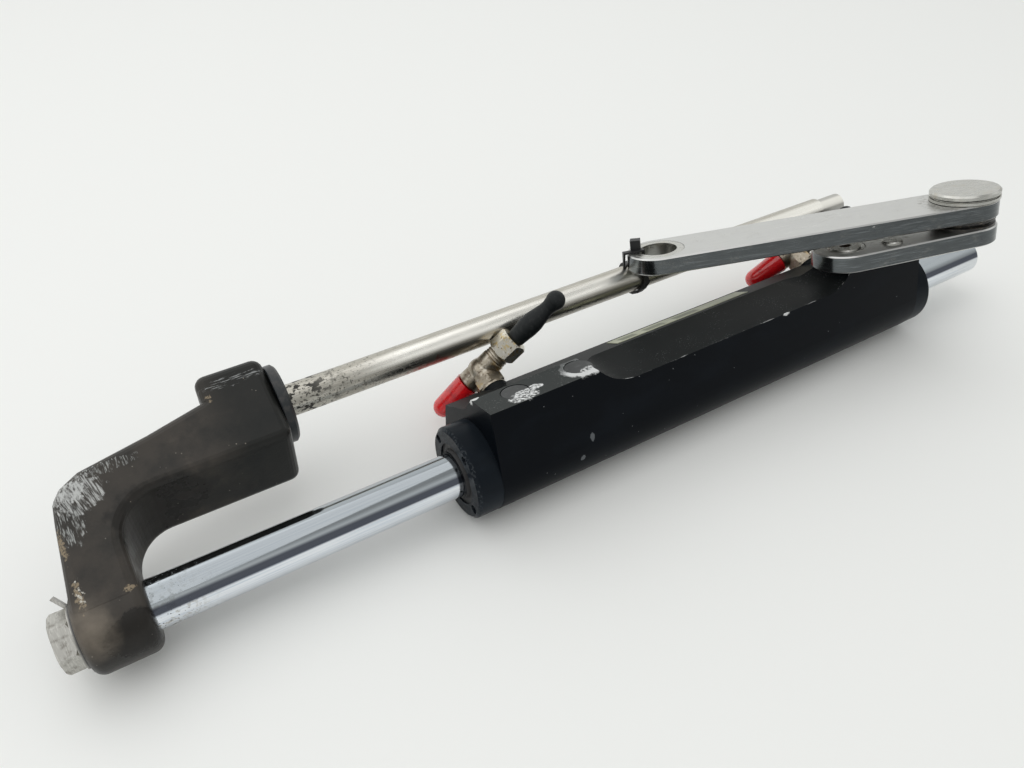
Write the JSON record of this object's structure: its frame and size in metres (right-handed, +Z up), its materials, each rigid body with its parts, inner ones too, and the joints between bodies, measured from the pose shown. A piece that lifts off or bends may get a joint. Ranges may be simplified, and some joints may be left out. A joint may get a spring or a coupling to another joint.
{
  "type": "front-mount hydraulic steering cylinder kit",
  "caption": "Through-rod hydraulic steering cylinder with a cast support bracket, a tilt-tube support rod, two flat pivoting links and capped hose tees.",
  "frame": {"origin": "under the middle of the cylinder body, directly below the piston rod's axis, on the surface that the kit rests on", "axes": "+X along the piston rod from the bracket to its free end, +Y back towards the support rod, +Z up from the surface"},
  "size_m": [0.56, 0.1256, 0.1047],
  "materials": {
    "cast_bracket": "worn dark satin coating on a casting",
    "chrome_rod": "hard chrome with light pitting",
    "nut_steel": "dull zinc-plated steel",
    "piston_metal": "turned",
    "seal_rubber": "matte",
    "support_steel": "stained stainless steel",
    "collar_black": "satin black",
    "tie_nylon": "matte black nylon",
    "anodised_body": "black anodised",
    "anodised_gland": "black anodised, turned",
    "plug_black": "worn black",
    "plate_beige": "faded film",
    "link_steel": "brushed stainless steel",
    "pin_steel": "turned stainless steel",
    "washer_nylon": "matte black nylon",
    "ring_steel": "dark phosphated steel",
    "fitting_metal": "dull nickel-plated brass",
    "nut_brass": "worn nickel over brass",
    "cap_vinyl": "glossy red vinyl",
    "plug_rubber": "soft black rubber"
  },
  "bodies": {
    "rod_frame": {"support_bracket": "cast_bracket", "piston_rod": "chrome_rod", "shaft_nut": "nut_steel", "lock_tab_washer": "nut_steel", "piston": "piston_metal", "piston_seal": "seal_rubber", "support_rod": "support_steel", "support_rod_collar": "collar_black"},
    "cylinder": {"cylinder_body": "anodised_body", "left_gland": "anodised_gland", "right_gland": "anodised_gland", "left_rod_wiper": "seal_rubber", "right_rod_wiper": "seal_rubber", "left_rod_seal": "seal_rubber", "right_rod_seal": "seal_rubber", "left_gland_o_ring": "seal_rubber", "right_gland_o_ring": "seal_rubber", "pad_plugs": "plug_black", "label_plate": "plate_beige", "link_screw": "pin_steel", "left_port_adapter": "fitting_metal", "left_tee": "fitting_metal", "left_tee_nut": "nut_brass", "left_bleeder": "nut_brass", "right_port_adapter": "fitting_metal", "right_tee": "fitting_metal", "right_tee_nut": "nut_brass", "right_bleeder": "nut_brass"},
    "lower_arm": {"lower_link": "link_steel", "lower_link_bushing": "pin_steel", "stop_button": "pin_steel", "pivot_pin": "pin_steel", "pivot_washers": "washer_nylon", "pivot_sleeve": "washer_nylon", "retaining_ring": "ring_steel"},
    "upper_arm": {"upper_link": "link_steel", "eye_bushing": "pin_steel", "cable_tie": "tie_nylon"},
    "left_cap": {"left_bleeder_cap": "cap_vinyl"},
    "right_cap": {"right_bleeder_cap": "cap_vinyl"},
    "left_plug": {"left_hose_plug": "plug_rubber"},
    "right_plug": {"right_hose_plug": "plug_rubber"}
  },
  "joints": [
    {"name": "cylinder_slide", "type": "slide", "parent": "rod_frame", "child": "cylinder", "axis": [1, 0, 0], "range_m": [-0.078, 0.06]},
    {"name": "lower_link_swing", "type": "hinge", "parent": "cylinder", "child": "lower_arm", "pos_m": [0.0894, -0.005, 0.06446], "axis": [0, 0.288, 0.9576], "range_deg": [-90, 40], "deforming": ["cable_tie"]},
    {"name": "upper_link_swing", "type": "hinge", "parent": "lower_arm", "child": "upper_arm", "pos_m": [0.15566, -0.02424, 0.08512], "axis": [0, 0.288, 0.9576], "range_deg": [-150, 150], "deforming": ["cable_tie"]},
    {"name": "left_cap_pull", "type": "slide", "parent": "cylinder", "child": "left_cap", "axis": [-0.7314, 0.1564, -0.6638], "range_m": [0, 0.015]},
    {"name": "right_cap_pull", "type": "slide", "parent": "cylinder", "child": "right_cap", "axis": [-0.891, 0.1041, -0.4419], "range_m": [0, 0.018]},
    {"name": "left_plug_pull", "type": "slide", "parent": "cylinder", "child": "left_plug", "axis": [0.7314, -0.1564, 0.6638], "range_m": [0, 0.012]},
    {"name": "right_plug_pull", "type": "slide", "parent": "cylinder", "child": "right_plug", "axis": [0.891, -0.1041, 0.4419], "range_m": [0, 0.012]}
  ]
}
